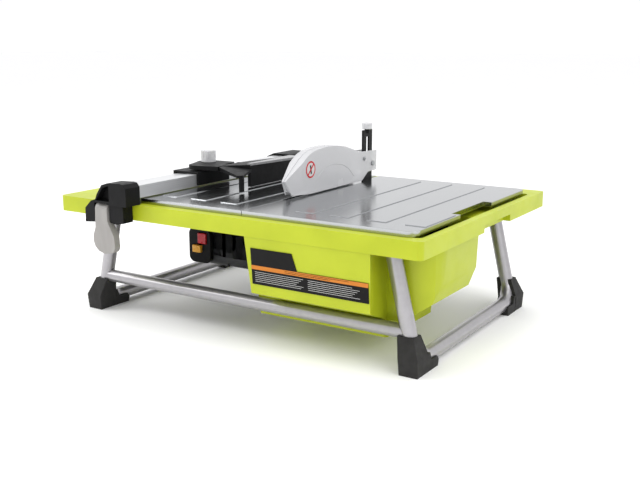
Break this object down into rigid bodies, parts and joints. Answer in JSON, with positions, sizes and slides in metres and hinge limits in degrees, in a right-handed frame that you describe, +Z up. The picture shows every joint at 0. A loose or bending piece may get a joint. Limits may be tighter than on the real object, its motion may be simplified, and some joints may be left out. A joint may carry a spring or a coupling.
{
  "type": "wet tile saw",
  "caption": "Tabletop wet tile saw: water tub under a steel table, blade with clear guard, rip fence with swivelling angle guide, on a bent-tube frame with rubber feet.",
  "frame": {"origin": "on the floor, in the middle of the saw's length and depth", "axes": "+X runs right along the front, +Y to the back, +Z up"},
  "size_m": [0.66, 0.524, 0.305],
  "materials": {
    "lime_plastic": "satin moulded",
    "stainless": "brushed",
    "silver_paint": "silver-grey paint",
    "rubber": "matte",
    "black_plastic": "fine textured",
    "grey_plastic": "satin",
    "motor_plastic": "matte",
    "aluminium": "extruded",
    "steel": "machined",
    "copper": "varnished windings",
    "red_plastic": "gloss",
    "yellow_plastic": "gloss",
    "clear_plastic": "milky clear"
  },
  "bodies": {
    "saw_base": {"tray_tub": "lime_plastic", "label_plate": "black_plastic", "right_table": "stainless", "left_table": "stainless", "frame_side_left": "silver_paint", "frame_side_right": "silver_paint", "cross_tube_front": "silver_paint", "foot_front_left": "rubber", "foot_front_right": "rubber", "foot_back_left": "rubber", "foot_back_right": "rubber", "leg_socket_front_left": "black_plastic", "leg_socket_front_right": "black_plastic", "leg_socket_back_left": "black_plastic", "leg_socket_back_right": "black_plastic", "motor_housing": "motor_plastic", "switch_surround": "motor_plastic", "power_gland": "rubber", "stator": "steel", "motor_bell_rear": "aluminium", "motor_bell_front": "aluminium", "bearing_rear": "steel", "bearing_front": "steel", "shaft_seal": "rubber", "guard_post": "black_plastic"},
    "blade_drive": {"arbor_shaft": "steel", "flange_inner": "steel", "diamond_blade": "steel", "flange_outer": "steel", "arbor_nut": "steel", "rotor": "copper", "cooling_fan": "black_plastic"},
    "guard_carriage": {"guard_bolt": "steel"},
    "guard": {"guard_left": "clear_plastic", "guard_right": "clear_plastic"},
    "post_knob": {"post_knob": "clear_plastic"},
    "fence": {"fence_bar": "aluminium", "fence_head": "black_plastic", "fence_hook": "black_plastic", "lever_pin": "steel"},
    "fence_lever": {"fence_lever": "grey_plastic"},
    "guide_carriage": {"guide_saddle": "black_plastic"},
    "guide": {"angle_guide": "black_plastic"},
    "guide_knob": {"guide_knob": "clear_plastic"},
    "switch": {"switch_button": "red_plastic"},
    "safety_key": {"safety_key": "yellow_plastic"},
    "drain_plug": {"drain_plug": "rubber"}
  },
  "joints": [
    {"name": "blade_spin", "type": "hinge", "parent": "saw_base", "child": "blade_drive", "pos_m": [0.032, 0.022, 0.147], "axis": [1, 0, 0], "continuous": true},
    {"name": "guard_height", "type": "slide", "parent": "saw_base", "child": "guard_carriage", "axis": [0, 0, 1], "range_m": [0, 0.028]},
    {"name": "guard_pivot", "type": "hinge", "parent": "guard_carriage", "child": "guard", "pos_m": [0.032, 0.148, 0.235], "axis": [-1, 0, 0], "range_deg": [0, 25]},
    {"name": "post_knob_turn", "type": "hinge", "parent": "saw_base", "child": "post_knob", "pos_m": [0.032, 0.149, 0.3], "axis": [0, 0, 1], "continuous": true},
    {"name": "fence_slide", "type": "slide", "parent": "saw_base", "child": "fence", "axis": [1, 0, 0], "range_m": [-0.055, 0.035]},
    {"name": "fence_lever_swing", "type": "hinge", "parent": "fence", "child": "fence_lever", "pos_m": [-0.218, -0.25, 0.19], "axis": [-1, 0, 0], "range_deg": [0, 75]},
    {"name": "guide_slide", "type": "slide", "parent": "fence", "child": "guide_carriage", "axis": [0, 1, 0], "range_m": [-0.03, 0.12]},
    {"name": "guide_swivel", "type": "hinge", "parent": "guide_carriage", "child": "guide", "pos_m": [-0.184, -0.028, 0.235], "axis": [0, 0, 1], "range_deg": [-32, 32]},
    {"name": "guide_knob_turn", "type": "hinge", "parent": "guide_carriage", "child": "guide_knob", "pos_m": [-0.184, -0.028, 0.25], "axis": [0, 0, 1], "continuous": true},
    {"name": "switch_press", "type": "slide", "parent": "saw_base", "child": "switch", "axis": [0, 1, 0], "range_m": [0, 0.003], "stiffness_N_per_m": 200},
    {"name": "safety_key_pull", "type": "slide", "parent": "saw_base", "child": "safety_key", "axis": [0, -1, 0], "range_m": [0, 0.012]},
    {"name": "drain_plug_pull", "type": "slide", "parent": "saw_base", "child": "drain_plug", "axis": [0, 0, -1], "range_m": [0, 0.012]}
  ]
}
